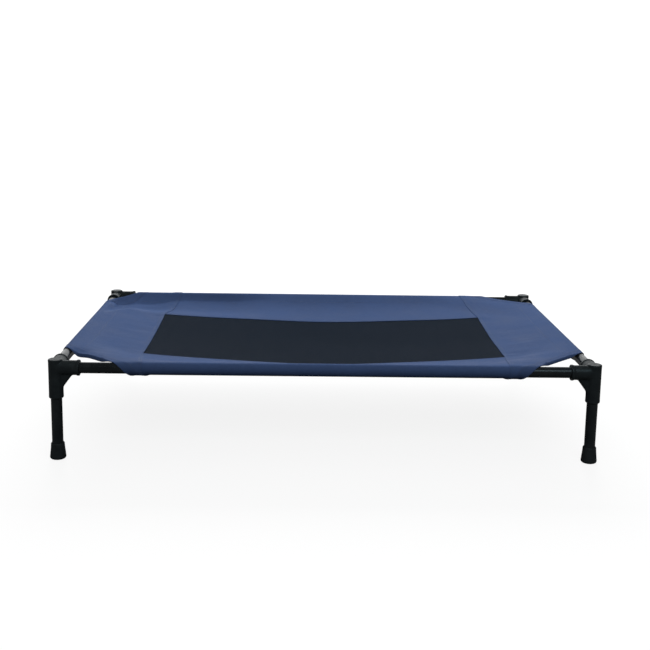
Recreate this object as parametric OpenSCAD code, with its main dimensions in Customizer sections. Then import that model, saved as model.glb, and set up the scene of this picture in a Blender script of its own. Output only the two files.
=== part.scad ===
// Raised pet cot: a knock-down frame of round tubes pushed into moulded corner connectors,
// with a sewn cover whose four edge sleeves hold it stretched over the rails.
// Millimetres. X runs along the long rails, Y from front to rear, Z up from the floor.

/* [Overall size] */
// Length over all
cot_length = 1270; // [900:1:1500]
// Width over all
cot_width = 813; // [620:1:1000]
// Height from the floor to the highest point of the corner connectors
cot_height = 236; // [180:1:320]

/* [Tubes] */
// Outside diameter of the rails and the legs
tube_d = 25.4; // [20:0.1:30]
// Wall of the tubes
tube_wall = 1.2; // [0.8:0.1:2.5]

/* [Corner connectors] */
// Wall of the sockets that take the rails
rail_socket_wall = 4.2; // [2.5:0.1:5.5]
// Wall of the socket that takes the leg
leg_socket_wall = 3.9; // [2.8:0.1:6]
// From the corner axis to the mouth of each rail socket
rail_socket_reach = 55; // [45:1:80]
// From the rail axis down to the mouth of the leg socket
leg_socket_reach = 72; // [50:1:90]
// From the corner point to the blind end of each socket
socket_stop = 18; // [17:0.5:24]
// Width of the collar round each rail socket's mouth
collar_width = 6; // [2:0.5:10]
// Rise of that collar above its socket
collar_rise = 1.4; // [0.5:0.1:3]
// Rise of the connector's flat cap above the rail sockets
cap_rise = 2.9; // [0.4:0.1:6]
// Rounding of the cap's edge
cap_round = 2; // [0.5:0.5:5]
// Chamfer round the leg socket's mouth
mouth_chamfer = 3; // [0.5:0.1:3.8]
// Thickness of the webs between the sockets
web_thickness = 16; // [6:0.5:22]
// Reach of each web along its rail socket, from the corner axis
web_run = 36; // [26:1:44]
// Reach of each web down the leg socket, from the rail axis
web_drop = 44; // [28:1:48]

/* [Feet] */
// Height of each foot
foot_height = 38; // [25:1:60]
// Wall of the foot at its top
foot_wall = 2.7; // [1.8:0.1:5]
// Growth of the foot's radius from its top to its base
foot_flare = 3; // [0:0.1:6]
// Floor of the foot under the leg
foot_floor = 8; // [4:0.5:15]
// Rounding of the foot's lower edge
foot_round = 5; // [1:0.5:8]
// Chamfer round the foot's top
foot_chamfer = 1.5; // [0.3:0.1:1.7]

/* [Cover] */
// Thickness of the cloth
cloth = 1; // [0.5:0.1:2]
// Sag of the cover at its middle
sag = 54; // [5:1:60]
// From the short rails' axis to the mesh panel
end_border = 170; // [150:1:300]
// From the long rails' axis to the mesh panel
side_border = 185.5; // [150:0.5:260]
// From the corner axis along a long rail to the seam between an end panel and a strip
strip_start = 197; // [195:1:280]
// From the corner axis along each rail to the cut-off corner of the cover
corner_cut = 123; // [95:1:160]
// Width of the hem along a cut-off corner
hem_width = 25; // [10:0.5:40]
// Rise of the hem above the cloth
hem_rise = 1; // [0.5:0.1:3]
// Slack between a rail and the sleeve round it
sleeve_ease = 1; // [0.5:0.1:3]
// From a rail's axis to the seam that closes its sleeve
sleeve_seam = 40; // [30:1:60]

/* [Fits] */
// Radial clearance of a tube in its socket
socket_fit = 0.1; // [0.05:0.05:0.5]
// Radial clearance of a leg in its foot
foot_fit = 0.05; // [0.05:0.05:0.3]
// Gap between the two layers at a sleeve's seam
seam_gap = 0.3; // [0.2:0.1:1]

/* [Hidden] */
$fn = 96;

left = -1;
right = 1;
front = -1;
rear = 1;
cut_over = 1; // how far a cutting shape runs past the face that it opens

tube_r = tube_d / 2;
socket_bore_r = tube_r + socket_fit;
rail_socket_r = socket_bore_r + rail_socket_wall;
leg_socket_r = socket_bore_r + leg_socket_wall;
connector_top = rail_socket_r + cap_rise;
foot_bore_r = tube_r + foot_fit;
foot_top_r = foot_bore_r + foot_wall;
foot_base_r = foot_top_r + foot_flare;

// The corner axis, where a leg and two rails would meet, is this far from the middle
corner_half = max(foot_base_r, leg_socket_r, rail_socket_r + collar_rise);
corner_x = cot_length / 2 - corner_half;
corner_y = cot_width / 2 - corner_half;
rail_z = cot_height - rail_socket_r - max(cap_rise, collar_rise);
leg_top = rail_z - socket_stop;

mesh_x = corner_x - end_border;
mesh_y = corner_y - side_border;
seam_x = corner_x - strip_start;
hem_cut = corner_cut + hem_width * sqrt(2); // where the hem's inner edge meets a rail
sleeve_in_r = tube_r + sleeve_ease;
sleeve_out_r = sleeve_in_r + cloth;
sleeve_mid_r = sleeve_in_r + cloth / 2;
sleeve_wrap = PI * sleeve_mid_r + sleeve_seam; // cloth from the rail's crown round to the sleeve's seam

// Grid steps of the cloth
long_steps = 12;
short_steps = 8;
border_steps = 3;
edge_steps = 2;
wrap_steps = 12;
hem_steps = 10;

function mix(a, b, share) = a + (b - a) * share;

function steps(a, b, count) = [for (k = [0:count]) mix(a, b, k / count)];

// Values from mark to mark, with the given number of steps between each two
function stations(marks, counts) = [
  for (k = [0:len(counts) - 1])
    for (n = [0:counts[k] - 1])
      mix(marks[k], marks[k + 1], n / counts[k]),
  marks[len(marks) - 1],
];

// The cover leaves each rail level, falls away from it and flattens towards the middle
function fall(share) = pow(max(0, 1 - pow(share, 4)), 1.5);

function sag_at(p) = sag * fall(abs(p[0]) / corner_x) * fall(abs(p[1]) / corner_y);

function cloth_top(p) = rail_z + sleeve_out_r - sag_at(p);

function raised(grid, rise) = [for (row = grid) [for (p = row) [p[0], p[1], cloth_top(p) + rise]]];

// Half width of a strip between its seams, at a distance y from the middle
function seam_at(y) = y <= mesh_y ? mesh_x : mix(mesh_x, seam_x, (y - mesh_y) / side_border);

// Outer edge of an end panel: the short rail's crown, then the cut-off corner
function end_edge(y) = corner_x - max(0, y - (corner_y - hem_cut));

// Frame

module at_corner(side, row) {
  mirror([side == left ? 1 : 0, 0, 0])
    mirror([0, row == front ? 1 : 0, 0])
      translate([corner_x, corner_y, 0])
        children();
}

module tube(length) {
  difference() {
    cylinder(h = length, r = tube_r);
    translate([0, 0, -cut_over])
      cylinder(h = length + 2 * cut_over, r = tube_r - tube_wall);
  }
}

// Points its child along the rail that leaves the corner towards -X or towards -Y
module toward_long_rail() {
  rotate([0, -90, 0])
    children();
}

module toward_short_rail() {
  rotate([90, 0, 0])
    children();
}

module rail_socket() {
  cylinder(h = rail_socket_reach, r = rail_socket_r);
  translate([0, 0, rail_socket_reach - collar_width])
    cylinder(h = collar_width, r = rail_socket_r + collar_rise);
}

module rail_bore() {
  translate([0, 0, socket_stop])
    cylinder(h = rail_socket_reach - socket_stop + cut_over, r = socket_bore_r);
}

module leg_socket() {
  rotate_extrude() {
    polygon([
      [0, -leg_socket_reach],
      [leg_socket_r - mouth_chamfer, -leg_socket_reach],
      [leg_socket_r, mouth_chamfer - leg_socket_reach],
      [leg_socket_r, connector_top - cap_round],
      [leg_socket_r - cap_round, connector_top],
      [0, connector_top],
    ]);
    translate([leg_socket_r - cap_round, connector_top - cap_round])
      circle(r = cap_round);
  }
}

module leg_bore() {
  translate([0, 0, -leg_socket_reach - cut_over])
    cylinder(h = leg_socket_reach - socket_stop + cut_over, r = socket_bore_r);
}

module web() {
  rotate([90, 0, 0])
    linear_extrude(web_thickness, center = true)
      polygon([
        [0, 0],
        [-web_run, 0],
        [-web_run, -rail_socket_r],
        [-leg_socket_r, -web_drop],
        [0, -web_drop],
      ]);
}

module corner_connector(side, row) {
  color("#1e2123")
    at_corner(side, row)
      translate([0, 0, rail_z])
        difference() {
          union() {
            leg_socket();
            toward_long_rail()
              rail_socket();
            toward_short_rail()
              rail_socket();
            web();
            rotate([0, 0, 90])
              web();
          }
          leg_bore();
          toward_long_rail()
            rail_bore();
          toward_short_rail()
            rail_bore();
        }
}

module long_rail(row) {
  length = 2 * (corner_x - socket_stop);
  color("#15171a")
    translate([-length / 2, row * corner_y, rail_z])
      rotate([0, 90, 0])
        tube(length);
}

module short_rail(side) {
  length = 2 * (corner_y - socket_stop);
  color("#15171a")
    translate([side * corner_x, length / 2, rail_z])
      rotate([90, 0, 0])
        tube(length);
}

module leg(side, row) {
  color("#15171a")
    at_corner(side, row)
      translate([0, 0, foot_floor])
        tube(leg_top - foot_floor);
}

module foot(side, row) {
  color("#222426")
    at_corner(side, row)
      difference() {
        rotate_extrude() {
          polygon([
            [0, 0],
            [foot_base_r - foot_round, 0],
            [foot_base_r, foot_round],
            [foot_top_r, foot_height - foot_chamfer],
            [foot_top_r - foot_chamfer, foot_height],
            [0, foot_height],
          ]);
          translate([foot_base_r - foot_round, foot_round])
            circle(r = foot_round);
        }
        translate([0, 0, foot_floor])
          cylinder(h = foot_height - foot_floor + cut_over, r = foot_bore_r);
      }
}

// Cover

// Closed solid between two like grids of points. Rows run along +X and a row's points along +Y,
// seen from the first grid's side.
module thick_sheet(outer, inner) {
  rows = len(outer);
  cols = len(outer[0]);
  under = rows * cols;
  quads = concat(
    [for (i = [0:rows - 2]) for (j = [0:cols - 2])
      [i * cols + j, i * cols + j + 1, (i + 1) * cols + j + 1, (i + 1) * cols + j]],
    [for (i = [0:rows - 2]) for (j = [0:cols - 2])
      [for (k = [(i + 1) * cols + j, (i + 1) * cols + j + 1, i * cols + j + 1, i * cols + j]) under + k]],
    [for (i = [0:rows - 2])
      [i * cols, (i + 1) * cols, under + (i + 1) * cols, under + i * cols]],
    [for (i = [1:rows - 1])
      [(i + 1) * cols - 1, i * cols - 1, under + i * cols - 1, under + (i + 1) * cols - 1]],
    [for (j = [0:cols - 2])
      [j + 1, j, under + j, under + j + 1]],
    [for (j = [under - cols:under - 2])
      [j, j + 1, under + j + 1, under + j]]
  );
  polyhedron(
    points = [each for (row = outer) row, each for (row = inner) row],
    faces = [for (q = quads) each [[q[0], q[1], q[2]], [q[0], q[2], q[3]]]]
  );
}

module panel(grid, rise = 0) {
  thick_sheet(raised(grid, rise), raised(grid, -cloth));
}

module mesh_panel() {
  color("#2b323c")
    panel([for (x = steps(-mesh_x, mesh_x, long_steps)) [for (y = steps(-mesh_y, mesh_y, short_steps)) [x, y]]]);
}

module strip(row) {
  ys = stations([mesh_y, corner_y - sleeve_seam, corner_y], [border_steps, edge_steps]);
  color("#485d8a")
    mirror([0, row == front ? 1 : 0, 0])
      panel([for (share = steps(-1, 1, long_steps)) [for (y = ys) [share * seam_at(y), y]]]);
}

module end_panel(side) {
  near = min(mesh_y, corner_y - hem_cut);
  far = max(mesh_y, corner_y - hem_cut);
  pocket = corner_y - sleeve_seam;
  ys = stations(
    [-corner_y, -pocket, -far, -near, near, far, pocket, corner_y],
    [edge_steps, border_steps, 1, short_steps, 1, border_steps, edge_steps]
  );
  shares = stations([0, 1 - sleeve_seam / end_border, 1], [edge_steps, edge_steps]);
  color("#485d8a")
    mirror([side == left ? 1 : 0, 0, 0])
      panel([for (share = shares) [for (y = ys) [mix(seam_at(abs(y)), end_edge(abs(y)), share), y]]]);
}

module hem(side, row) {
  inner = steps([corner_x, corner_y - hem_cut], [corner_x - hem_cut, corner_y], hem_steps);
  outer = steps([corner_x, corner_y - corner_cut], [corner_x - corner_cut, corner_y], hem_steps);
  color("#28344f")
    mirror([side == left ? 1 : 0, 0, 0])
      mirror([0, row == front ? 1 : 0, 0])
        panel([inner, outer], hem_rise);
}

// A place along a rail and across it, for a long rail or, turned, for a short one
function rail_place(turned, along, across) = turned ? [across, -along] : [along, across];

// Where a sleeve's lower layer meets the cover, outwards and upwards from the rail's axis
function seam_point(turned, along, rail_at) =
  let (p = rail_place(turned, along, rail_at - sleeve_seam))
    [-sleeve_seam, cloth_top(p) - 1.5 * cloth - seam_gap - rail_z];

// Angle at which the sleeve leaves the rail for that seam, past its underside
function leaving_angle(seam) =
  let (angle = atan2(seam[1], seam[0]))
    (angle < 0 ? angle : angle - 360) + acos(sleeve_mid_r / norm(seam));

// One cross-section of a sleeve, as [distance along the cloth, place, direction outwards]
function sleeve_section(seam) =
  let (last = leaving_angle(seam))
  let (wrap = [for (angle = steps(90, last, wrap_steps))
    let (out = [cos(angle), sin(angle)])
      [sleeve_mid_r * (90 - angle) * PI / 180, sleeve_mid_r * out, out]])
  let (tail = sqrt(seam * seam - sleeve_mid_r * sleeve_mid_r))
    [each wrap, [wrap[wrap_steps][0] + tail, seam, wrap[wrap_steps][2]]];

// The slanted ends of a sleeve carry on the line of the cut-off corners round the rail
function sleeve_grid(turned, rail_at, half_length, offset) = [
  for (share = steps(-1, 1, long_steps))
    let (seam = seam_point(turned, share * (half_length - sleeve_wrap), rail_at))
      [for (s = sleeve_section(seam))
        let (place = s[1] + offset * s[2])
        let (p = rail_place(turned, share * (half_length - s[0]), rail_at + place[0]))
          [p[0], p[1], rail_z + place[1]]],
];

module sleeve(turned, rail_at, half_length) {
  thick_sheet(
    sleeve_grid(turned, rail_at, half_length, cloth / 2),
    sleeve_grid(turned, rail_at, half_length, -cloth / 2)
  );
}

module long_sleeve(row) {
  color("#34466f")
    mirror([0, row == front ? 1 : 0, 0])
      sleeve(false, corner_y, corner_x - corner_cut);
}

module short_sleeve(side) {
  color("#34466f")
    mirror([side == left ? 1 : 0, 0, 0])
      sleeve(true, corner_x, corner_y - corner_cut);
}

corner_connector(left, front);  // connector_front_left
corner_connector(right, front);  // connector_front_right
corner_connector(left, rear);  // connector_rear_left
corner_connector(right, rear);  // connector_rear_right
long_rail(front);  // front_rail
long_rail(rear);  // rear_rail
short_rail(left);  // left_rail
short_rail(right);  // right_rail
leg(left, front);  // leg_front_left
leg(right, front);  // leg_front_right
leg(left, rear);  // leg_rear_left
leg(right, rear);  // leg_rear_right
foot(left, front);  // foot_front_left
foot(right, front);  // foot_front_right
foot(left, rear);  // foot_rear_left
foot(right, rear);  // foot_rear_right
mesh_panel();
strip(front);  // front_strip
strip(rear);  // rear_strip
end_panel(left);  // left_end_panel
end_panel(right);  // right_end_panel
long_sleeve(front);  // front_sleeve
long_sleeve(rear);  // rear_sleeve
short_sleeve(left);  // left_sleeve
short_sleeve(right);  // right_sleeve
hem(left, front);  // hem_front_left
hem(right, front);  // hem_front_right
hem(left, rear);  // hem_rear_left
hem(right, rear);  // hem_rear_right
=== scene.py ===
import math

import bmesh
import bpy
from mathutils import Matrix, Vector, noise


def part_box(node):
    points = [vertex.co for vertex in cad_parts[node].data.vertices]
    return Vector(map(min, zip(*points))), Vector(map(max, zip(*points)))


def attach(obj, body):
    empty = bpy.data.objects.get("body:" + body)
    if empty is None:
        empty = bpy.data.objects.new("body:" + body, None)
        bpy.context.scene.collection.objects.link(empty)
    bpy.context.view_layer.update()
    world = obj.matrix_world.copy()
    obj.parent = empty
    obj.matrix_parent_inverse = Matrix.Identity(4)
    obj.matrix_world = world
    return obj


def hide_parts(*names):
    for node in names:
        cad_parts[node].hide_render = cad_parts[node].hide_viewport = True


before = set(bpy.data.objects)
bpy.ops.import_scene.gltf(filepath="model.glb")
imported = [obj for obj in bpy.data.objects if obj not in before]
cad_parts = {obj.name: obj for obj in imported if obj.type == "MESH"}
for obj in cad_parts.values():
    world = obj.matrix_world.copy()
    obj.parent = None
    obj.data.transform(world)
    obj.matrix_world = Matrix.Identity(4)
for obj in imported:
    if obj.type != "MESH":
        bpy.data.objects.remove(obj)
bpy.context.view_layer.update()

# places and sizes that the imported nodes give, in metres
legLow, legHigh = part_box("leg_rear_right")
railLow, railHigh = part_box("rear_rail")
footLow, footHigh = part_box("foot_rear_right")
meshLow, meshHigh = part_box("mesh_panel")
cornerX = (legLow.x + legHigh.x) / 2
cornerY = (legLow.y + legHigh.y) / 2
railZ = (railLow.z + railHigh.z) / 2
tubeR = (railHigh.z - railLow.z) / 2
meshX, meshY = meshHigh.x, meshHigh.y
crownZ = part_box("rear_sleeve")[1].z
sleeveR = crownZ - railZ
left, right, front, rear = -1, 1, -1, 1
corners = {
    "front_left": (left, front),
    "front_right": (right, front),
    "rear_left": (left, rear),
    "rear_right": (right, rear),
}


# from 0 at low to 1 at high, eased at both ends
def smooth(low, high, value):
    share = min(1.0, max(0.0, (value - low) / (high - low)))
    return share * share * (3 - 2 * share)


def mix(a, b, share):
    return a + (b - a) * share


# materials

def newMaterial(name, **sockets):
    made = bpy.data.materials.new(name)
    made.use_nodes = True
    shader = made.node_tree.nodes["Principled BSDF"]
    for socket, value in sockets.items():
        shader.inputs[socket.replace("_", " ")].default_value = value
    return made, shader


def addNode(tree, kind, settings=None, **sockets):
    node = tree.nodes.new("ShaderNode" + kind)
    for key, value in (settings or {}).items():
        setattr(node, key, value)
    for socket, value in sockets.items():
        node.inputs[socket.replace("_", " ")].default_value = value
    return node


def ramp(tree, source, low, high, lowColor, highColor):
    node = addNode(tree, "ValToRGB")
    node.color_ramp.elements[0].position = low
    node.color_ramp.elements[1].position = high
    node.color_ramp.elements[0].color = (*lowColor, 1)
    node.color_ramp.elements[1].color = (*highColor, 1)
    tree.links.new(source, node.inputs["Fac"])
    return node.outputs["Color"]


def grey(value):
    return (value, value, value)


def bump(tree, shader, height, distance, strength):
    node = addNode(tree, "Bump", Distance=distance, Strength=strength)
    tree.links.new(height, node.inputs["Height"])
    tree.links.new(node.outputs["Normal"], shader.inputs["Normal"])


def math2(tree, operation, a, b):
    node = addNode(tree, "Math", {"operation": operation})
    for socket, value in zip(node.inputs, (a, b)):
        if isinstance(value, (int, float)):
            socket.default_value = value
        else:
            tree.links.new(value, socket)
    return node.outputs[0]


flatMap = "flat"  # UV map that holds the cut pattern in metres
waveUnit = 2 * math.pi / 20  # length of one wave at a Wave Texture's scale of 1


def flatWave(tree, direction, pitch, turn=0.0):
    flat = addNode(tree, "UVMap", {"uv_map": flatMap})
    turned = addNode(tree, "Mapping", Rotation=(0, 0, turn))
    bands = {"wave_type": "BANDS", "bands_direction": direction}
    wave = addNode(tree, "TexWave", bands, Scale=waveUnit / pitch)
    tree.links.new(flat.outputs["UV"], turned.inputs["Vector"])
    tree.links.new(turned.outputs["Vector"], wave.inputs["Vector"])
    return wave.outputs["Fac"]


def flatNoise(tree, scale, stretch=(1, 1, 1), detail=2.0):
    flat = addNode(tree, "UVMap", {"uv_map": flatMap})
    stretched = addNode(tree, "Mapping", Scale=stretch)
    cloud = addNode(tree, "TexNoise", Scale=scale, Detail=detail)
    tree.links.new(flat.outputs["UV"], stretched.inputs["Vector"])
    tree.links.new(stretched.outputs["Vector"], cloud.inputs["Vector"])
    return cloud.outputs["Fac"]


def placeNoise(tree, scale, detail=2.0):
    place = addNode(tree, "TexCoord")
    cloud = addNode(tree, "TexNoise", Scale=scale, Detail=detail)
    tree.links.new(place.outputs["Object"], cloud.inputs["Vector"])
    return cloud.outputs["Fac"]


noiseSpan = (0.3, 0.7)  # most of a noise's values lie between these


def roughen(tree, shader, cloud, roughness):
    low, high = roughness
    tree.links.new(ramp(tree, cloud, *noiseSpan, grey(low), grey(high)), shader.inputs["Roughness"])


clothFinish = {
    "thread": (0.0445, 0.0765, 0.173),
    "gap": (0.0240, 0.0412, 0.0965),
    "pitch": 0.0016,  # two threads of the plain weave
    "slubs": (60, 14),  # how fine the thick places in the yarn are, and how much finer across it
    "patches": 9,  # how fine the unevenness of the dye is
    "shares": {"weave": 0.45, "slubs": 0.9, "patches": 0.45},  # what each adds to the tone
    "tones": (0.05, 0.85),
    "roughness": (0.62, 0.82),
    "slubRelief": 0.6,
    "relief": (0.0003, 0.5),  # depth and strength
    "sheen": 0.015,
    "sheenRoughness": 0.45,
    "sheenTint": (0.75, 0.82, 1.0, 1),
    "shine": 0.12,
}


# the last argument darkens the cloth's whole colour; below 1 it is painted shade, not a dye of its own
def wovenCloth(name, finish, paintedShade=1.0):
    made, shader = newMaterial(
        name,
        Sheen_Weight=finish["sheen"],
        Sheen_Roughness=finish["sheenRoughness"],
        Sheen_Tint=finish["sheenTint"],
        Specular_IOR_Level=finish["shine"],
    )
    tree = made.node_tree
    warp, weft = (flatWave(tree, direction, finish["pitch"]) for direction in "XY")
    weave = math2(tree, "MULTIPLY", warp, weft)
    fine, finer = finish["slubs"]
    alongX = flatNoise(tree, fine, (1, finer, 1))
    alongY = flatNoise(tree, fine, (finer, 1, 1))
    slubs = math2(tree, "MULTIPLY", alongX, alongY)
    patches = flatNoise(tree, finish["patches"], detail=3.0)
    shares = finish["shares"]
    tone = math2(tree, "MULTIPLY", weave, shares["weave"])
    for cloud, share in ((slubs, shares["slubs"]), (patches, shares["patches"])):
        tone = math2(tree, "ADD", tone, math2(tree, "MULTIPLY", cloud, share))
    dark = tuple(paintedShade * c for c in finish["gap"])
    light = tuple(paintedShade * c for c in finish["thread"])
    tree.links.new(ramp(tree, tone, *finish["tones"], dark, light), shader.inputs["Base Color"])
    roughen(tree, shader, patches, finish["roughness"])
    height = math2(tree, "ADD", weave, math2(tree, "MULTIPLY", slubs, finish["slubRelief"]))
    bump(tree, shader, height, *finish["relief"])
    return made


meshFinish = {
    "yarn": (0.0062, 0.0112, 0.0200),
    "hole": (0.0015, 0.0026, 0.0046),
    "pitch": 0.0042,
    "turn": 45,  # the holes stand in diamonds
    "patches": 6,
    "patchShare": 0.35,
    "tones": (0.45, 1.1),
    "relief": (0.0005, 0.6),
    "roughness": 0.72,
    "sheen": 0.004,
    "sheenRoughness": 0.5,
    "shine": 0.04,
}


def knittedMesh(name, finish):
    made, shader = newMaterial(
        name,
        Roughness=finish["roughness"],
        Sheen_Weight=finish["sheen"],
        Sheen_Roughness=finish["sheenRoughness"],
        Specular_IOR_Level=finish["shine"],
    )
    tree = made.node_tree
    turn = math.radians(finish["turn"])
    across = flatWave(tree, "X", finish["pitch"] / 2, turn)
    along = flatWave(tree, "Y", finish["pitch"] / 2, turn)
    holes = math2(tree, "MULTIPLY", across, along)
    yarn = math2(tree, "SUBTRACT", 1.0, holes)
    patches = flatNoise(tree, finish["patches"], detail=3.0)
    tone = math2(tree, "ADD", yarn, math2(tree, "MULTIPLY", patches, finish["patchShare"]))
    color = ramp(tree, tone, *finish["tones"], finish["hole"], finish["yarn"])
    tree.links.new(color, shader.inputs["Base Color"])
    bump(tree, shader, yarn, *finish["relief"])
    return made


coolShine = (0.78, 0.95, 1.0, 1)  # the black pieces shine a little blue
mouldFinish = {
    "clouds": 55,
    "tones": (0.35, 0.68),
    "polish": 140,
    "relief": (0.0002, 0.35),
    "shine": 0.5,
}
connectorFinish = {
    **mouldFinish,
    "dark": (0.0080, 0.010, 0.0115),
    "light": (0.0132, 0.0165, 0.018),
    "roughness": (0.36, 0.5),
    "grain": 700,
}
footFinish = {
    **mouldFinish,
    "dark": (0.0095, 0.0112, 0.012),
    "light": (0.0145, 0.017, 0.018),
    "roughness": (0.5, 0.66),
    "grain": 1100,
}


def mouldedPlastic(name, finish):
    made, shader = newMaterial(name, Specular_IOR_Level=finish["shine"], Specular_Tint=coolShine)
    tree = made.node_tree
    clouds = placeNoise(tree, finish["clouds"], detail=4.0)
    color = ramp(tree, clouds, *finish["tones"], finish["dark"], finish["light"])
    tree.links.new(color, shader.inputs["Base Color"])
    roughen(tree, shader, placeNoise(tree, finish["polish"], detail=3.0), finish["roughness"])
    bump(tree, shader, placeNoise(tree, finish["grain"]), *finish["relief"])
    return made


tubeFinish = {
    "dark": (0.0066, 0.008, 0.0092),
    "light": (0.0142, 0.0165, 0.0185),
    "scuffs": 38,
    "tones": (0.4, 0.78),
    "polish": 90,
    "roughness": (0.24, 0.34),
    "grain": 620,
    "relief": (0.00012, 0.15),
    "shine": 0.45,
    "coat": 0.2,
    "coatRoughness": 0.16,
}


def coatedTube(name, finish):
    made, shader = newMaterial(
        name,
        Specular_IOR_Level=finish["shine"],
        Specular_Tint=coolShine,
        Coat_Weight=finish["coat"],
        Coat_Roughness=finish["coatRoughness"],
    )
    tree = made.node_tree
    scuffs = placeNoise(tree, finish["scuffs"], detail=5.0)
    color = ramp(tree, scuffs, *finish["tones"], finish["dark"], finish["light"])
    tree.links.new(color, shader.inputs["Base Color"])
    roughen(tree, shader, placeNoise(tree, finish["polish"], detail=3.0), finish["roughness"])
    bump(tree, shader, placeNoise(tree, finish["grain"], detail=1.0), *finish["relief"])
    return made


threadFinish = {"fibres": 900, "lighter": 1.5, "roughness": 0.55, "sheen": 0.2}


def sewingThread(name, color):
    made, shader = newMaterial(name, Roughness=threadFinish["roughness"], Sheen_Weight=threadFinish["sheen"])
    tree = made.node_tree
    light = tuple(threadFinish["lighter"] * c for c in color)
    fibres = placeNoise(tree, threadFinish["fibres"])
    tree.links.new(ramp(tree, fibres, *noiseSpan, color, light), shader.inputs["Base Color"])
    return made


borderCloth = wovenCloth("navy woven cloth", clothFinish)
# the hem tape is the same navy cloth as the cover, painted a tenth darker as shade for where the hem turns
# down
shadedHemCloth = wovenCloth("navy hem tape with painted shade", clothFinish, paintedShade=0.9)
meshCloth = knittedMesh("charcoal knitted mesh", meshFinish)
connectorPlastic = mouldedPlastic("black moulded plastic", connectorFinish)
footRubber = mouldedPlastic("black foot rubber", footFinish)
tubeCoat = coatedTube("black powder coat", tubeFinish)
navyThread = sewingThread("navy thread", (0.022, 0.034, 0.075))
darkThread = sewingThread("charcoal thread", (0.014, 0.014, 0.017))
print("materials made:", len(bpy.data.materials))

sharpTurn = {"cloth": math.radians(50), "moulding": math.radians(40)}  # edges that turn more stay sharp
weld = 1e-6  # closer points become one


# every new piece is put in the scene and tied to the frame here
def addPiece(name, bm, finish, slot, body, *nodes):
    data = bpy.data.meshes.new(name)
    bm.to_mesh(data)
    bm.free()
    data.materials.append(finish)
    piece = bpy.data.objects.new(name, data)
    bpy.context.scene.collection.objects.link(piece)
    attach(piece, body)
    if nodes:
        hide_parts(*nodes)
    return piece


# the sewn cover

cover = {
    "cloth": 0.001,
    "sleeveSeam": 0.040,  # from a rail's axis in to the seam that closes its sleeve
    "layerGap": 0.0012,  # between the two layers at that seam
    "slack": 0.0004,  # how far a sleeve hangs below its rail
    "sagTilt": 0.232,  # the sag is deeper in front
    "sagSlope": (0.62, 0.30),  # how far it runs to a point, along and across
    "strain": 1.25,  # how the front strip bends: at 1 it is straight
    "onRail": 0.02,  # share of the front strip that lies round on its rail
    "stripStart": 0.197,  # from the corner axis to the seam between an end panel and a strip
    "lap": 0.010,  # how far one panel runs under the next
    "layer": 0.0011,  # one cloth on another
    "hemWidth": 0.025,
    "hemRidges": {0.000: 0.0015, 0.0225: 0.0008},  # a hem's edges under a rail: place from the cut, and swell
    "ridgeHalf": 0.0065,
    "hemTuck": 0.005,  # the panels end this far inside the hem's edge
    "flapWidth": 0.004,  # how much of a hem turns down
    "taut": (0.3, 0.14),  # share of the sag that is left at a hem, and how far in the whole sag is reached
    "grip": 8,  # how close to a rail the sag begins: a higher power is closer
    "gripEase": 1.3,
    "point": (0.02, 0.141),  # softens the point in the middle, and sets its depth back to 1
    "halfTurns": 1.15,  # of the cloth round a rail, from the crown
    "seamShort": 0.004,  # by this the run to the seam is shorter than the sleeve is wide
    "slim": (0.012, 0.004),  # a hem gets slimmer from before a short rail's crown to past it
    "leastShare": 0.1,  # keeps a bow within bounds outside the corner
    "edgeSteps": 10,  # steps that find a bowed edge
    "droopClear": (0.003, 0.022),  # droops start and are whole this far from a rail's axis
    "flapClear": ((0.004, 0.032), (0.001, 0.034)),  # so do flaps, from the short and the long rails
    "flapCurl": (1.3, 1.5),  # most of the turn, and its power
    "bulge": ((0.45, 0.85), (1.3, 1.05)),  # hem edges swell and flatten, in half turns round a rail
    "tiltStep": 0.0004,  # for the cover's slope
    "lapEase": ((0.028, 0.012), (0.034, 0.016)),  # how an end panel rises before a lap and sinks past it
    # each cut-off corner: from the corner axis along the long rail and along the short rail to the cut,
    # how far its edge bows in and its hem turns down, and how much less it slants past the short rail
    "corners": {
        (left, front): {"cut": (0.127, 0.121), "bow": 0.002, "flap": 0.0085, "square": 0.0},
        (right, front): {"cut": (0.125, 0.121), "bow": 0.005, "flap": 0.0065, "square": 0.0},
        (left, rear): {"cut": (0.064, 0.108), "bow": 0.000, "flap": 0.0025, "square": 1.4},
        (right, rear): {"cut": (0.126, 0.091), "bow": 0.001, "flap": 0.0025, "square": 0.5},
    },
}
sag = crownZ - meshLow.z - cover["cloth"]
seamX = cornerX - cover["stripStart"]
wrapLength = cover["halfTurns"] * math.pi * sleeveR + cover["sleeveSeam"] - cover["seamShort"]

# a fold along the rear left cut and the rear rail: places along it, and distances from the cover's edge
fold = {
    "comes": (-0.614, -0.594),
    "widens": (-0.625, -0.555),
    "slim": 0.45,  # share of its width before it widens
    "narrows": (-0.53, -0.40),
    "goes": (-0.10, -0.30),  # gone, and starts to go
    "depth": (0.0220, 0.0100),  # before it narrows, and after
    "foot": (0.050, 0.026),  # where it has descended, before it narrows and after
    "back": (0.190, 0.085),  # has risen again, and starts to rise
    "blend": 0.010,  # eases the fold's turn from the cut to the rail
    "crisp": 1.25,  # 1 is a straight descent with a sharp foot
    "rest": 0.005,  # lies on the tube this far before it descends
}

# where the cloth hangs lower than the plain sag: place, depth, reach along the hem and across it, and turn
droops = [
    {"at": (-0.586, -0.293), "depth": 0.006, "along": 0.030, "across": 0.022, "turn": -45},
]


# the sag's depth, from 1 in the middle to 0 at a rail: a slack line that hangs in a soft point
def hang(share, slope):
    soft, back = cover["point"]
    held = max(0.0, 1 - share ** cover["grip"]) ** cover["gripEase"]
    return held * (1 - slope * (math.sqrt(share ** 2 + soft) - back))


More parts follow.
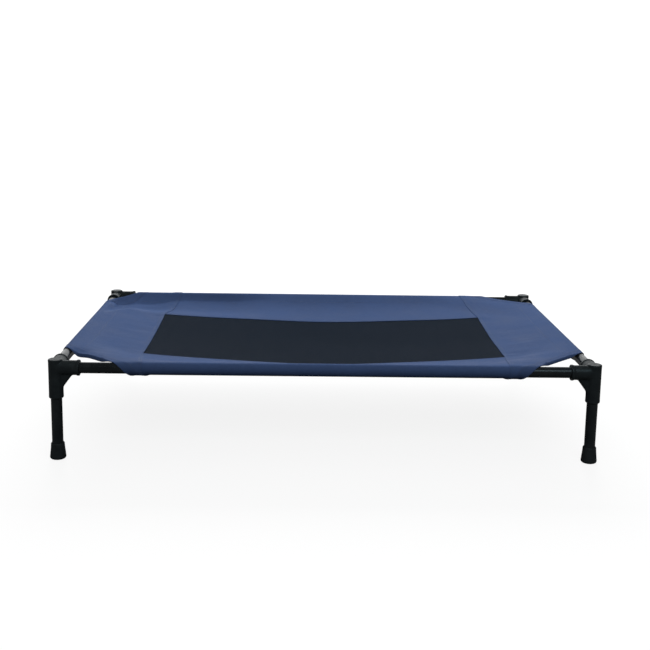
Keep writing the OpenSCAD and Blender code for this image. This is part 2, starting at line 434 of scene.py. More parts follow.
# in front the cloth runs almost straight from the rail down to the mesh's edge
def hangAcross(y, slope):
    if y > -meshY:
        return hang(y / cornerY, slope)
    ease = cover["onRail"]
    run = (math.hypot((cornerY + y) / (cornerY - meshY), ease) - ease) / (math.hypot(1, ease) - ease)
    return hang(meshY / cornerY, slope) * (1 - max(0.0, 1 - run) ** cover["strain"])


def sideOf(value):
    return 1 if value >= 0 else -1


def cornerAt(u, v):
    return cover["corners"][(sideOf(u), sideOf(v))]


# how far the edge of a cut-off corner lies inside a straight line, a share of the way from rail to rail
def bowed(corner, share):
    return corner["bow"] * max(0.0, 4 * share * (1 - share))


# how much narrower a hem is drawn where its edge slants less, past the short rail's crown
def slimmed(corner, u):
    slant = corner["cut"][1] / corner["cut"][0]
    before, beyond = cover["slim"]
    past = smooth(cornerX - before, cornerX + beyond, u)
    return mix(1, math.hypot(1, slant - corner["square"]) / math.hypot(1, slant), past)


# distance of a place in the cut pattern from the cut-off corner's edge, inwards
def fromCut(u, v):
    corner = cornerAt(u, v)
    along, across = corner["cut"]
    past = max(0.0, abs(u) - cornerX)
    shareX, shareY = (cornerX - abs(u)) / along, (cornerY - abs(v) + corner["square"] * past) / across
    both = max(cover["leastShare"], shareX + shareY)
    inside = (shareX + shareY - 1) / math.hypot(1 / along, 1 / across) - bowed(corner, shareX / both)
    return inside / slimmed(corner, abs(u))


# half width of the cover at v, an inset inside the cut-off corner's edge
def cutEdge(side, v, inset):
    along, across = cornerAt(side, v)["cut"]
    u = cornerX - along * (1 - (cornerY - abs(v)) / across)
    for _ in range(cover["edgeSteps"]):
        u -= (inset - fromCut(side * max(0.0, u), v)) * math.hypot(1, along / across)
    return u


# creases: height, how many along and across, how much they slant, and the seed of their noise
creases = {
    "lines": {"height": 0.0011, "along": 4, "across": 21, "slant": 5, "seed": 3.1},
    "threads": {"height": 0.0004, "along": 7, "across": 52, "slant": 0, "seed": 8.3},
    "broad": {"height": 0.0010, "along": 6, "across": 7, "slant": 0, "seed": 1.7},
    "pulls": {"height": 0.0005, "along": 46, "across": 5, "slant": 0, "seed": 5.5},
}
creasePlaces = {"ends": (0.66, 0.78), "sides": (0.5, 0.7)}  # shares of the way out to the rails


def crease(kind, x, y):
    c = creases[kind]
    return c["height"] * noise.noise(Vector((c["along"] * x, c["across"] * y + c["slant"] * x, c["seed"])))


def wrinkles(x, y):
    shareX, shareY = abs(x) / cornerX, abs(y) / cornerY
    free = (1 - shareX ** cover["grip"]) * (1 - shareY ** cover["grip"])
    onEnd = smooth(*creasePlaces["ends"], shareX)
    lines = crease("lines", x, y) + crease("threads", x, y)
    pulls = crease("pulls", x, y) * smooth(*creasePlaces["sides"], shareY) * (1 - onEnd)
    return free * (onEnd * lines + crease("broad", x, y) + pulls)


def drooped(x, y):
    total = 0.0
    clear = cover["droopClear"]
    offRails = smooth(*clear, cornerX - abs(x)) * smooth(*clear, cornerY - abs(y))
    for d in droops:
        dx, dy = x - d["at"][0], y - d["at"][1]
        turn = math.radians(d["turn"])
        along = dx * math.cos(turn) + dy * math.sin(turn)
        across = dy * math.cos(turn) - dx * math.sin(turn)
        total += d["depth"] * math.exp(-(along / d["along"]) ** 2 - (across / d["across"]) ** 2)
    return total * offRails


def folded(x, y):
    along = smooth(*fold["comes"], x) * smooth(*fold["goes"], x)
    if y < 0 or not along:
        return 0.0
    cutX, cutY = cornerAt(x, y)["cut"]
    edges = (cornerY - y, fromCut(x, y) * math.hypot(1, cutY / cutX))
    off = -fold["blend"] * math.log(sum(math.exp(-edge / fold["blend"]) for edge in edges))
    further = smooth(*fold["narrows"], x)
    wide = mix(fold["slim"], 1.0, smooth(*fold["widens"], x))
    run = max(0.0, off - fold["rest"]) / (wide * mix(*fold["foot"], further))
    descent = 1 - max(0.0, 1 - run) ** fold["crisp"]
    return mix(*fold["depth"], further) * wide * along * descent * smooth(*fold["back"], off)


def turnedDown(x, y):
    edge = max(0.0, 1 - fromCut(x, y) / cover["flapWidth"])
    fromShort, fromLong = cover["flapClear"]
    offRails = smooth(*fromShort, cornerX - abs(x)) * smooth(*fromLong, cornerY - abs(y))
    most, power = cover["flapCurl"]
    return cornerAt(x, y)["flap"] * min(most, edge) ** power * offRails


def sheetZ(x, y):
    along, across = cover["sagSlope"]
    least, reach = cover["taut"]
    depth = sag * (1 - cover["sagTilt"] * y / cornerY) * hang(x / cornerX, along) * hangAcross(y, across)
    depth *= mix(least, 1, smooth(0, reach, fromCut(x, y)))
    return crownZ - depth + wrinkles(x, y) - drooped(x, y) - folded(x, y) - turnedDown(x, y)


# cloth round a rail, a run from the crown: outwards and up from the rail's axis, and the direction it faces
def wrapped(run, seamUp):
    seam = Vector((-cover["sleeveSeam"], seamUp))
    last = math.atan2(seam.x, seam.y) + 2 * math.pi - math.acos(sleeveR / seam.length)
    angle = min(run / sleeveR, last)
    loose = cover["slack"] * math.sin(math.pi * max(0.0, angle - math.pi / 2) / (last - math.pi / 2)) ** 2
    faces = Vector((math.sin(angle), math.cos(angle)))
    place = faces * (sleeveR + loose)
    if run > sleeveR * last:
        straight = math.sqrt(seam.length_squared - sleeveR ** 2)
        place += (seam - place) * min(1.0, (run - sleeveR * last) / straight)
    return place, faces


# a place in the cut pattern, u along the long rails and v across, put on the stretched cover
def onCover(u, v, lift=0.0):
    overX, overY = abs(u) - cornerX, abs(v) - cornerY
    below = math.pi * sleeveR
    swells, flattens = ((first * below, last * below) for first, last in cover["bulge"])
    bulge = smooth(*swells, max(overX, overY)) * smooth(*flattens, max(overX, overY))
    for ridge, swell in cover["hemRidges"].items():
        lift += swell * smooth(cover["ridgeHalf"], 0, abs(fromCut(u, v) - ridge)) * bulge
    if overY > 0:
        inner = sideOf(v) * (cornerY - cover["sleeveSeam"])
        place, faces = wrapped(overY, sheetZ(u, inner) - railZ - cover["layerGap"] - cover["cloth"])
        place += faces * lift
        return Vector((u, sideOf(v) * (cornerY + place.x), railZ + place.y))
    if overX > 0:
        inner = sideOf(u) * (cornerX - cover["sleeveSeam"])
        place, faces = wrapped(overX, sheetZ(inner, v) - railZ - cover["layerGap"] - cover["cloth"])
        place += faces * lift
        return Vector((sideOf(u) * (cornerX + place.x), v, railZ + place.y))
    place = Vector((u, v, sheetZ(u, v)))
    if lift:
        step = cover["tiltStep"]
        tiltX = (sheetZ(u + step, v) - sheetZ(u - step, v)) / (2 * step)
        tiltY = (sheetZ(u, v + step) - sheetZ(u, v - step)) / (2 * step)
        place += lift * Vector((-tiltX, -tiltY, 1)).normalized()
    return place


# half width of the strips, from the mesh's corner to the long rail and round it
def seamAt(v):
    return mix(meshX, seamX, min(1.0, max(0.0, (abs(v) - meshY) / (cornerY - meshY))))


def flush(u, v):
    return 0.0


def endLift(u, v):
    (rises, risen), sinks = cover["lapEase"]
    onStrip = smooth(meshY - rises, meshY - risen, abs(v))
    return cover["layer"] * onStrip * smooth(*sinks, abs(u) - seamAt(v))


# a grid in the cut pattern becomes cloth: place gives the pattern's (u, v), lift the height over the cover
def clothPiece(columns, rows, place, lift):
    bm = bmesh.new()
    bmesh.ops.create_grid(bm, x_segments=columns, y_segments=rows, size=0.5)
    cut = bm.verts.layers.float_vector.new("cut")
    for vert in bm.verts:
        u, v = place(vert.co.x + 0.5, vert.co.y + 0.5)
        vert[cut] = (u, v, 0)
        vert.co = (u, v, 0)
    area = sum(face.calc_area() for face in bm.faces)
    for vert in bm.verts:
        u, v = vert[cut][:2]
        vert.co = onCover(u, v, lift(u, v))
    bmesh.ops.recalc_face_normals(bm, faces=bm.faces)
    if sum(face.normal.z * face.calc_area() for face in bm.faces) < 0:
        bmesh.ops.reverse_faces(bm, faces=bm.faces)
    return bm, area


def thicken(bm, thickness):
    bmesh.ops.solidify(bm, geom=bm.faces[:] + bm.edges[:] + bm.verts[:], thickness=thickness)
    flat = bm.loops.layers.uv.new(flatMap)
    cut = bm.verts.layers.float_vector["cut"]
    for face in bm.faces:
        face.smooth = True
        for loop in face.loops:
            loop[flat].uv = loop.vert[cut][:2]
    for edge in bm.edges:
        edge.smooth = edge.calc_face_angle(0) < sharpTurn["cloth"]


def meshPlace(a, b):
    reachX, reachY = meshX + cover["lap"], meshY + cover["lap"]
    return mix(-reachX, reachX, a), mix(-reachY, reachY, b)


def stripPlace(row):
    def place(a, b):
        v = row * mix(meshY, cornerY + wrapLength, b)
        reach = [min(seamAt(v) + cover["lap"], cutEdge(side, v, cover["hemTuck"])) for side in (left, right)]
        return mix(-reach[0], reach[1], a), v
    return place


def endPlace(side):
    ends = []
    for row in (front, rear):
        along, across = cover["corners"][(side, row)]["cut"]
        room = across * ((cornerX - seamX) / along - 1) - 2 * cover["hemTuck"]
        ends.append(cornerY + min(wrapLength, room))

    def place(a, b):
        v = mix(-ends[0], ends[1], b)
        outer = min(cornerX + wrapLength, cutEdge(side, v, cover["hemTuck"]))
        return side * mix(seamAt(v), outer, a), v
    return place


grids = {"mesh": (200, 92), "strip": (240, 84), "end": (82, 236)}  # columns and rows
sheets, flats = {}, {}
bm, flats["mesh"] = clothPiece(*grids["mesh"], meshPlace, lambda u, v: -cover["layer"])
thicken(bm, cover["cloth"])
sheets["mesh"] = addPiece("mesh_sheet", bm, meshCloth, "mesh_cloth", "frame", "mesh_panel")
for name, row in (("front", front), ("rear", rear)):
    bm, flats[name] = clothPiece(*grids["strip"], stripPlace(row), flush)
    thicken(bm, cover["cloth"])
    nodes = (name + "_strip", name + "_sleeve")
    sheets[name] = addPiece(name + "_strip_sheet", bm, borderCloth, "border_cloth", "frame", *nodes)
for name, side in (("left", left), ("right", right)):
    bm, flats[name] = clothPiece(*grids["end"], endPlace(side), endLift)
    thicken(bm, cover["cloth"])
    nodes = (name + "_end_panel", name + "_sleeve")
    sheets[name] = addPiece(name + "_end_sheet", bm, borderCloth, "border_cloth", "frame", *nodes)
print("cover sheets made:", {name: round(area, 4) for name, area in flats.items()})

# hem tape folded over the cut-off corners, round both rails
hem = {
    "steps": 110,
    "insets": (0.025, 0.023, 0.019, 0.015, 0.011, 0.008, 0.006, 0.0048, 0.0038, 0.0029, 0.0020, 0.0012),
    "over": 0.0004,  # heights of the two layers over the cover
    "under": -0.0017,
    "tucked": -0.0004,  # the inner edge of the upper layer lies in the cloth
    "cloth": 0.0005,
    "foldSteps": 6,
}


# distance in from the edge and height over the cover, from the upper layer round the fold to the lower one
def hemProfile():
    middle = (hem["over"] + hem["under"]) / 2
    reach = (hem["over"] - hem["under"]) / 2
    first, *others = hem["insets"]
    bend = []
    for k in range(hem["foldSteps"] + 1):
        angle = math.pi * k / hem["foldSteps"]
        bend.append((others[-1] - reach * math.sin(angle), middle + reach * math.cos(angle)))
    upper = [(inset, hem["over"]) for inset in others[:-1]]
    lower = [(inset, hem["under"]) for inset in reversed(others[:-1])]
    return [(first, hem["tucked"]), *upper, *bend, *lower]


# a place in the cut pattern: a share of the way along the hem, and an inset from its edge
def onHem(side, row, share, inset):
    corner = cover["corners"][(side, row)]
    along, across = corner["cut"]
    inwards = Vector((1 / along, 1 / across)).normalized()
    start = Vector((cornerX + wrapLength, cornerY - across * (1 + wrapLength / along)))
    end = Vector((cornerX - along * (1 + wrapLength / across), cornerY + wrapLength))
    at = start.lerp(end, share)
    at -= inwards * (inset * slimmed(corner, at.x) + bowed(corner, (cornerX - at.x) / along))
    at.y += corner["square"] * max(0.0, at.x - cornerX)
    return Vector((side * at.x, row * at.y))


def addHem(corner, side, row):
    profile = hemProfile()
    length = (onHem(side, row, 1, 0) - onHem(side, row, 0, 0)).length
    bm = bmesh.new()
    bmesh.ops.create_grid(bm, x_segments=hem["steps"], y_segments=len(profile) - 1, size=0.5)
    cut = bm.verts.layers.float_vector.new("cut")
    for vert in bm.verts:
        inset, lift = profile[round((vert.co.y + 0.5) * (len(profile) - 1))]
        share = vert.co.x + 0.5
        u, v = onHem(side, row, share, inset)
        vert[cut] = (share * length, inset, 0)
        vert.co = onCover(u, v, lift + endLift(u, v))
    bmesh.ops.recalc_face_normals(bm, faces=bm.faces)
    top = max(bm.faces, key=lambda face: face.calc_center_median().z)
    if top.normal.z < 0:
        bmesh.ops.reverse_faces(bm, faces=bm.faces)
    thicken(bm, hem["cloth"])
    return addPiece("hem_tape_" + corner, bm, shadedHemCloth, "hem_cloth", "frame", "hem_" + corner)


hems = {corner: addHem(corner, side, row) for corner, (side, row) in corners.items()}
print("hem tapes made:", len(hems))

# sewing: rows of small stitches that follow the cut pattern
stitch = {
    "pitch": 0.0046,
    "length": 0.0033,
    "width": 0.0008,
    "height": 0.0005,
    "segments": (6, 4),
    "probe": 0.001,  # a small lift shows which way the cover faces
}


def stitchRow(start, end, lift):
    bm = bmesh.new()
    around, up = stitch["segments"]
    start, end = Vector(start), Vector(end)
    number = max(1, int((end - start).length / stitch["pitch"]))
    ahead = (end - start).normalized() * stitch["length"] / 2
    for k in range(number):
        at = start.lerp(end, (k + 0.5) / number)
        high = lift(at.x, at.y)
        a, b = onCover(*(at - ahead), high), onCover(*(at + ahead), high)
        raised = onCover(at.x, at.y, high + stitch["probe"])
        faces = (raised - onCover(at.x, at.y, high)).normalized()
        run = (b - a).normalized()
        across = faces.cross(run).normalized()
        axes = (run * stitch["length"], across * stitch["width"], faces * stitch["height"])
        place = Matrix.Translation((a + b) / 2) @ Matrix(axes).transposed().to_4x4()
        bmesh.ops.create_uvsphere(bm, u_segments=around, v_segments=up, radius=0.5, matrix=place)
    return bm, number


def addStitches(name, rows, finish, slot):
    bm = bmesh.new()
    count = 0
    for start, end, lift in rows:
        row, number = stitchRow(start, end, lift)  # a row of its own is quicker than one long mesh
        data = bpy.data.meshes.new(name)
        row.to_mesh(data)
        row.free()
        bm.from_mesh(data)
        bpy.data.meshes.remove(data)
        count += number
    for face in bm.faces:
        face.smooth = True
    bmesh.ops.recalc_face_normals(bm, faces=bm.faces)
    piece = addPiece(name, bm, finish, slot, "frame")
    print(name, "has", count, "stitches")
    return piece


sewn = {
    "edge": 0.0025,  # from a seam to its first row
    "gap": 0.0055,  # from there to the second row
    "aroundRail": 0.8,  # rows round a rail go over this share of the cloth there
    "beforeHem": 0.028,  # a panel seam's rows stop this far before a cut
    "besideHem": 1.5,  # a sleeve seam's rows stop this many hem widths before a cut
    "pastSeam": 0.010,
    "sleeveEnd": 0.168,  # from the corner axis to a row round a long rail
    "pastCrown": 0.003,
    "hemInset": 0.021,
    "hemRuns": 14,  # straight runs that follow a hem
    "hemSpan": (0.09, 0.91),  # share of a hem that they cover
}


def meshRows():
    rows = []
    for offset in (sewn["edge"], sewn["edge"] + sewn["gap"]):
        for sign in (-1, 1):
            x, y = meshX + offset, meshY + offset
            rows.append(((-meshX, sign * y), (meshX, sign * y), flush))
            rows.append(((sign * x, -meshY), (sign * x, meshY), endLift))
    return rows


def seamRows():
    rows = []
    for side, row in corners.values():
        along, across = cover["corners"][(side, row)]["cut"]
        for offset in (sewn["edge"], sewn["edge"] + sewn["gap"]):
            run = cornerX - seamX - offset - sewn["beforeHem"]
            last = cornerY + min(sewn["aroundRail"] * wrapLength, across * (run / along - 1))
            x = side * (seamX + offset)
            rows.append(((side * (meshX + offset), row * meshY), (x, row * cornerY), endLift))
            rows.append(((x, row * cornerY), (x, row * last), endLift))
    return rows


def sleeveRows():
    rows = []
    long, short = cornerY - cover["sleeveSeam"], cornerX - cover["sleeveSeam"]
    inset = cover["hemWidth"] * sewn["besideHem"]
    for row in (front, rear):
        rows.append(((-seamX, row * long), (seamX, row * long), flush))
        for side in (left, right):
            start, end = seamX + sewn["pastSeam"], cutEdge(side, row * long, inset)
            rows.append(((side * start, row * long), (side * end, row * long), endLift))
            along, across = cover["corners"][(side, row)]["cut"]
            around = min(sewn["aroundRail"] * wrapLength, across * (sewn["sleeveEnd"] / along - 1))
            x = side * (cornerX - sewn["sleeveEnd"])
            rows.append(((x, row * (cornerY + sewn["pastCrown"])), (x, row * (cornerY + around)), endLift))
    for side in (left, right):
        ends = []
        for row in (front, rear):
            along, across = cover["corners"][(side, row)]["cut"]
            ends.append(row * (cornerY - across * (1 - cover["sleeveSeam"] / along) - inset))
        rows.append(((side * short, ends[0]), (side * short, ends[1]), flush))
    return rows


def hemRows():
    def lift(u, v):
        return endLift(u, v) + hem["over"]

    rows = []
    runs, span = sewn["hemRuns"], sewn["hemSpan"]
    for side, row in corners.values():
        marks = [onHem(side, row, mix(*span, k / runs), sewn["hemInset"]) for k in range(runs + 1)]
        rows += [(a, b, lift) for a, b in zip(marks, marks[1:])]
    return rows


sewing = {
    "mesh": addStitches("mesh_edge_stitches", meshRows(), darkThread, "border_cloth"),
    "seam": addStitches("panel_seam_stitches", seamRows(), navyThread, "border_cloth"),
    "sleeve": addStitches("sleeve_seam_stitches", sleeveRows(), navyThread, "border_cloth"),
    "hem": addStitches("hem_stitches", hemRows(), navyThread, "hem_cloth"),
}

# moulded corner connectors

connectorLow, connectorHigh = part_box("connector_rear_right")
connector = {
    "railR": 0.0170,
    "legR": 0.0167,
    "collarR": 0.0184,
    "collarWidth": 0.006,
    "reach": cornerX - connectorLow.x,
    "mouth": railZ - connectorLow.z,
    "chamfer": 0.003,
    "top": connectorHigh.z - railZ,
    "capRound": 0.002,
    "capAngles": (0, 0.5, 1.05, math.pi / 2),
    "rimEase": 0.0006,
    "webThickness": 0.016,
    "webRun": 0.0375,
    "webDrop": 0.045,
    "stop": 0.018,  # where a tube stops, from the corner
    "bore": tubeR + 0.0001,
    "leadIn": 0.0009,
    "boreOver": 0.004,  # the cutters stand out of the mouths
    "voxel": 0.00095,
    "passes": 7,  # smoothing passes, each over a little less of the moulding
    "passStep": 0.0014,
    "turns": 7,  # in each pass
    "soften": 0.5,
    "keepRail": 0.0075,  # left crisp at each mouth
    "keepLeg": 0.0050,
    "keepTop": 0.0030,
}


turnSteps = 96


def turnedProfile(bm, points, turn):
    verts = [bm.verts.new((r, 0, h)) for r, h in points]
    edges = [bm.edges.new(pair) for pair in zip(verts, verts[1:])]
    bmesh.ops.spin(
        bm, geom=verts + edges, cent=(0, 0, 0), axis=(0, 0, 1), dvec=(0, 0, 0),
        angle=2 * math.pi, steps=turnSteps, use_merge=True,
    )
    made = {v for e in edges for v in e.verts} | set(verts)
    grown = set(made)
    while grown:
        grown = {e.other_vert(v) for v in grown for e in v.link_edges} - made
        made |= grown
    bmesh.ops.transform(bm, matrix=turn, verts=list(made))


alongLong = Matrix.Rotation(math.radians(-90), 4, "Y")  # +Z turned to -X
alongShort = Matrix.Rotation(math.radians(90), 4, "X")  # +Z turned to -Y
downLeg = Matrix.Rotation(math.radians(180), 4, "X")


def evaluated(bm, name, kind, **settings):
    data = bpy.data.meshes.new(name)
    bm.to_mesh(data)
    bm.free()
    carrier = bpy.data.objects.new(name, data)
    bpy.context.scene.collection.objects.link(carrier)
    modifier = carrier.modifiers.new(name, kind)
    for key, value in settings.items():
        setattr(modifier, key, value)
    graph = bpy.context.evaluated_depsgraph_get()
    result = bmesh.new()
    result.from_mesh(carrier.evaluated_get(graph).to_mesh())
    bpy.data.objects.remove(carrier)
    bpy.data.meshes.remove(data)
    return result


def connectorBody():
    c = connector
    bm = bmesh.new()
    cap = []
    for angle in c["capAngles"]:
        inwards, down = c["capRound"] * (1 - math.cos(angle)), c["capRound"] * (1 - math.sin(angle))
        cap.append((c["legR"] - inwards, c["top"] - down))
    mouth = [
        (0, -c["mouth"]),
        (c["legR"] - c["chamfer"], -c["mouth"]),
        (c["legR"], c["chamfer"] - c["mouth"]),
    ]
    turnedProfile(bm, [*mouth, *cap, (0, c["top"])], Matrix.Identity(4))
    ease = c["rimEase"]
    rim = [
        (c["collarR"] - ease, c["reach"] - c["collarWidth"]),
        (c["collarR"], c["reach"] - c["collarWidth"] + ease),
        (c["collarR"], c["reach"] - ease),
        (c["collarR"] - ease, c["reach"]),
    ]
    rail = [(0, 0), (c["railR"], 0), (c["railR"], c["reach"] - c["collarWidth"]), *rim, (0, c["reach"])]
    turnedProfile(bm, rail, alongLong)
    turnedProfile(bm, rail, alongShort)
    outline = [
        (0, 0),
        (-c["webRun"], 0),
        (-c["webRun"], -c["railR"]),
        (-c["legR"], -c["webDrop"]),
        (0, -c["webDrop"]),
    ]
    for turn in (0, 90):
        face = bm.faces.new([bm.verts.new((x, -c["webThickness"] / 2, z)) for x, z in outline])
        pushed = bmesh.ops.extrude_face_region(bm, geom=[face])
        lifted = [v for v in pushed["geom"] if isinstance(v, bmesh.types.BMVert)]
        bmesh.ops.translate(bm, vec=(0, c["webThickness"], 0), verts=lifted)
        turned = Matrix.Rotation(math.radians(turn), 3, "Z")
        bmesh.ops.rotate(bm, cent=(0, 0, 0), matrix=turned, verts=lifted + list(face.verts))
    bmesh.ops.remove_doubles(bm, verts=bm.verts, dist=weld)
    bmesh.ops.recalc_face_normals(bm, faces=bm.faces)
    return bm


def connectorBores():
    c = connector
    bm = bmesh.new()
    past, flare = c["boreOver"], c["bore"] + c["leadIn"]
    for turn, depth in ((alongLong, c["reach"]), (alongShort, c["reach"]), (downLeg, c["mouth"])):
        wall = [(0, c["stop"]), (c["bore"], c["stop"]), (c["bore"], depth - c["leadIn"])]
        mouth = [(flare, depth), (flare, depth + past), (0, depth + past)]
        turnedProfile(bm, wall + mouth, turn)
    bmesh.ops.remove_doubles(bm, verts=bm.verts, dist=weld)
    bmesh.ops.recalc_face_normals(bm, faces=bm.faces)
    return bm


everyWay = {"use_axis_x": True, "use_axis_y": True, "use_axis_z": True}


def mouldedConnector():
    c = connector
    bm = evaluated(connectorBody(), "moulding", "REMESH", mode="VOXEL", voxel_size=c["voxel"])
    for k in range(c["passes"]):
        step = c["passStep"] * k
        soft = [
            v for v in bm.verts
            if v.co.x > c["keepRail"] + step - c["reach"]
            and v.co.y > c["keepRail"] + step - c["reach"]
            and c["keepLeg"] + step - c["mouth"] < v.co.z < c["top"] - c["keepTop"] - step / 2
        ]
        for _ in range(c["turns"]):
            bmesh.ops.smooth_vert(bm, verts=soft, factor=c["soften"], **everyWay)
    bores = bpy.data.meshes.new("bores")
    cutter = connectorBores()
    cutter.to_mesh(bores)
    cutter.free()
    tool = bpy.data.objects.new("bores", bores)
    bpy.context.scene.collection.objects.link(tool)
    bm = evaluated(bm, "bored moulding", "BOOLEAN", operation="DIFFERENCE", solver="EXACT", object=tool)
    bpy.data.objects.remove(tool)
    bpy.data.meshes.remove(bores)
    bmesh.ops.translate(bm, vec=(cornerX, cornerY, railZ), verts=bm.verts)
    return bm


def mirrored(master, side, row):
    bm = master.copy()
    bmesh.ops.scale(bm, vec=(side, row, 1), verts=bm.verts)
    if side * row < 0:
        bmesh.ops.reverse_faces(bm, faces=bm.faces)
    for face in bm.faces:
        face.smooth = True
    for edge in bm.edges:
        edge.smooth = edge.calc_face_angle(0) < sharpTurn["moulding"]
    return bm


master = mouldedConnector()
for corner, (side, row) in corners.items():
    name, node = "moulded_connector_" + corner, "connector_" + corner
    addPiece(name, mirrored(master, side, row), connectorPlastic, "connector_plastic", "frame", node)
print("connectors made, faces each:", len(master.faces))
master.free()

# rubber feet

foot = {
    "topR": 0.01545,
    "baseR": (footHigh.x - footLow.x) / 2,
    "height": footHigh.z,
    "floor": 0.008,
    "bore": tubeR + 0.00005,
    "round": 0.005,
    "lip": 0.0015,
    "lipShares": (0.35, 0.4),  # of the lip, in and down to its middle
    "leadIn": (0.0004, 0.0006),  # the bore's mouth is wider by this, over this depth
    "heelSteps": 6,
    "bellSteps": 8,
    "bellEase": (-0.25, 1.1),  # the flare is cut out of a longer easing
    # radius and height of the rings underneath
    "tread": [
        (0, 0.0008), (0.0052, 0.0008), (0.0056, 0),
        (0.0088, 0), (0.0092, 0.0009), (0.0108, 0.0009), (0.0112, 0),
    ],
}


def rubberFoot():
    f = foot
    heel = []
    for k in range(f["heelSteps"] + 1):
        angle = math.pi / 2 * k / f["heelSteps"]
        heel.append((f["baseR"] - f["round"] * (1 - math.sin(angle)), f["round"] * (1 - math.cos(angle))))
    bell = []
    for k in range(1, f["bellSteps"] + 1):
        share = k / f["bellSteps"]
        wide = mix(f["baseR"], f["topR"], smooth(*f["bellEase"], share))
        bell.append((wide, mix(f["round"], f["height"] - f["lip"], share)))
    inwards, down = f["lipShares"]
    lip = [
        (f["topR"] - f["lip"] * inwards, f["height"] - f["lip"] * down),
        (f["topR"] - f["lip"], f["height"]),
    ]
    wider, deep = f["leadIn"]
    well = [
        (f["bore"] + wider, f["height"]),
        (f["bore"], f["height"] - deep),
        (f["bore"], f["floor"]),
        (0, f["floor"]),
    ]
    profile = f["tread"] + heel + bell + lip + well
    bm = bmesh.new()
    turnedProfile(bm, profile, Matrix.Translation((cornerX, cornerY, 0)))
    bmesh.ops.remove_doubles(bm, verts=bm.verts, dist=weld)
    bmesh.ops.recalc_face_normals(bm, faces=bm.faces)
    return bm


master = rubberFoot()
for corner, (side, row) in corners.items():
    name, node = "rubber_foot_" + corner, "foot_" + corner
    addPiece(name, mirrored(master, side, row), footRubber, "foot_rubber", corner + "_leg", node)
print("feet made, faces each:", len(master.faces))
master.free()

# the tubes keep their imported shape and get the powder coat
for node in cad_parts.values():
    node.data.materials.clear()
    node.data.materials.append(tubeCoat)

# stage, light and camera

studio = {
    "radius": 14.0,
    "floor": 0.90,
    "glow": 0.875,  # share of the floor that shows white whatever falls on it, so that shadows stay faint
    "fade": (1.1, 2.4),  # from here out the floor turns into the white backdrop
    "bounce": 0.09,  # what the floor gives back to the object
    "ambient": 0.07,
    "wall": (0.75, 0.95),  # where the wall behind begins and is whole; 1 is straight back
    "backGlow": 1.28,  # brightness of the white wall behind, as the object mirrors it
    "sun": {"strength": 1.0, "angle": 100},  # even light from above
    "coolWhite": (0.74, 0.90, 1.0),  # the lamp that the tubes mirror
    "lamps": {
        "back softbox": {
            "place": (0.0, 3.1, 2.3),
            "aim": (0.0, 0.0, 0.2),
            "size": (3.6, 1.6),
            "power": 245,
            "reflected": False,
        },
        "front wash": {
            "place": (0.0, -3.0, 2.6),
            "aim": (0.0, -0.4, 0.2),
            "size": (3.0, 1.5),
            "power": 42,
            "reflected": False,
        },
        "front fill": {
            "place": (1.0, -2.4, 2.3),
            "aim": (0.2, -0.4, 0.2),
            "size": (1.2, 0.8),
            "power": 8,
            "reflected": True,
        },
    },
}


# white to the eye, and softer in what it throws back at the object
def addStage():
    bm = bmesh.new()
    bmesh.ops.create_circle(bm, cap_ends=True, segments=96, radius=studio["radius"])
    data = bpy.data.meshes.new("studio_floor")
    bm.to_mesh(data)
    bm.free()
    made = bpy.data.materials.new("pale floor")
    made.use_nodes = True
    tree = made.node_tree
    tree.nodes.clear()
    seen = addNode(tree, "LightPath").outputs["Is Camera Ray"]
    dim = addNode(tree, "BsdfDiffuse", Color=(*grey(studio["bounce"]), 1))
    lit = addNode(tree, "BsdfDiffuse", Color=(*grey(studio["floor"] * (1 - studio["glow"])), 1))
    glow = addNode(tree, "Emission", Color=(*grey(1), 1))
    place, reach = addNode(tree, "TexCoord"), addNode(tree, "VectorMath", {"operation": "LENGTH"})
    fade = addNode(tree, "MapRange", {"interpolation_type": "SMOOTHSTEP"})
    for socket, value in zip(fade.inputs[1:5], (*studio["fade"], studio["glow"], 1.0)):
        socket.default_value = value
    tree.links.new(place.outputs["Object"], reach.inputs[0])
    tree.links.new(reach.outputs["Value"], fade.inputs[0])
    tree.links.new(fade.outputs[0], glow.inputs["Strength"])
    both, pick, out = addNode(tree, "AddShader"), addNode(tree, "MixShader"), addNode(tree, "OutputMaterial")
    tree.links.new(lit.outputs[0], both.inputs[0])
    tree.links.new(glow.outputs[0], both.inputs[1])
    tree.links.new(seen, pick.inputs[0])
    tree.links.new(dim.outputs[0], pick.inputs[1])
    tree.links.new(both.outputs[0], pick.inputs[2])
    tree.links.new(pick.outputs[0], out.inputs["Surface"])
    data.materials.append(made)
    floor = bpy.data.objects.new("studio_floor", data)
    bpy.context.scene.collection.objects.link(floor)
    world = bpy.data.worlds.new("studio white")
    world.use_nodes = True
    tree = world.node_tree
    tree.nodes.clear()
    seen = addNode(tree, "LightPath").outputs["Is Camera Ray"]
    facing, parts = addNode(tree, "TexCoord"), addNode(tree, "SeparateXYZ")
    tree.links.new(facing.outputs["Generated"], parts.inputs[0])
    wall = addNode(tree, "MapRange", {"interpolation_type": "SMOOTHSTEP"})
    for socket, value in zip(wall.inputs[1:5], (*studio["wall"], studio["ambient"], studio["backGlow"])):
        socket.default_value = value
    tree.links.new(parts.outputs["Y"], wall.inputs[0])
    level = math2(tree, "MAXIMUM", seen, wall.outputs[0])
    sky, out = addNode(tree, "Background", Color=(*grey(1), 1)), addNode(tree, "OutputWorld")
    tree.links.new(level, sky.inputs["Strength"])
    tree.links.new(sky.outputs[0], out.inputs["Surface"])
    bpy.context.scene.world = world


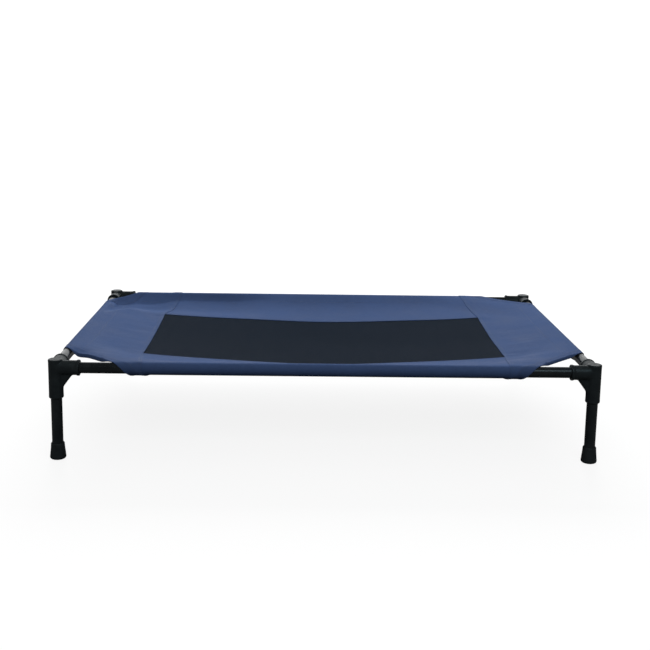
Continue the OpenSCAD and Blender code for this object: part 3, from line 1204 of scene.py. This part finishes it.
def addSun():
    data = bpy.data.lights.new("even light", "SUN")
    data.energy = studio["sun"]["strength"]
    data.angle = math.radians(studio["sun"]["angle"])
    lamp = bpy.data.objects.new("even light", data)
    lamp.visible_glossy = False
    bpy.context.scene.collection.objects.link(lamp)


def addSoftbox(name, place, aim, size, power, reflected):
    data = bpy.data.lights.new(name, "AREA")
    data.shape = "RECTANGLE"
    data.size, data.size_y = size
    data.energy = power
    data.color = studio["coolWhite"] if reflected else grey(1)
    lamp = bpy.data.objects.new(name, data)
    lamp.location = place
    lamp.rotation_mode = "QUATERNION"
    lamp.rotation_quaternion = (Vector(aim) - Vector(place)).to_track_quat("-Z", "Y")
    lamp.visible_camera = False
    lamp.visible_glossy = reflected
    bpy.context.scene.collection.objects.link(lamp)


viewpoint = {
    "place": (-0.0616, -2.6430, 0.8640),
    "yaw": 1.3715,
    "pitch": 10.1465,
    "roll": 0.9534,
    "focal": 1020.3,  # in pixels of a picture 650 wide
    "width": 650,
    "axisRow": 265,  # the picture is cut so that the lens looks at this row
    "sensor": 36,
    "far": 50,
}


def addCamera():
    yaw, pitch, roll = (math.radians(viewpoint[key]) for key in ("yaw", "pitch", "roll"))
    ahead = Vector((math.sin(yaw) * math.cos(pitch), math.cos(yaw) * math.cos(pitch), -math.sin(pitch)))
    level = Vector((math.cos(yaw), -math.sin(yaw), 0))
    above = level.cross(ahead)
    across = math.cos(roll) * level + math.sin(roll) * above
    up = math.cos(roll) * above - math.sin(roll) * level
    data = bpy.data.cameras.new("camera")
    data.sensor_width = viewpoint["sensor"]
    data.lens = viewpoint["focal"] / viewpoint["width"] * data.sensor_width
    data.shift_y = viewpoint["axisRow"] / viewpoint["width"] - 0.5
    data.clip_end = viewpoint["far"]
    camera = bpy.data.objects.new("camera", data)
    turned = Matrix((across, up, -ahead)).transposed().to_4x4()
    camera.matrix_world = Matrix.Translation(viewpoint["place"]) @ turned
    bpy.context.scene.collection.objects.link(camera)
    bpy.context.scene.camera = camera


addStage()
addSun()
for name, lamp in studio["lamps"].items():
    addSoftbox(name, **lamp)
addCamera()
bpy.context.scene.view_settings.view_transform = "Standard"
print("stage, light and camera made")
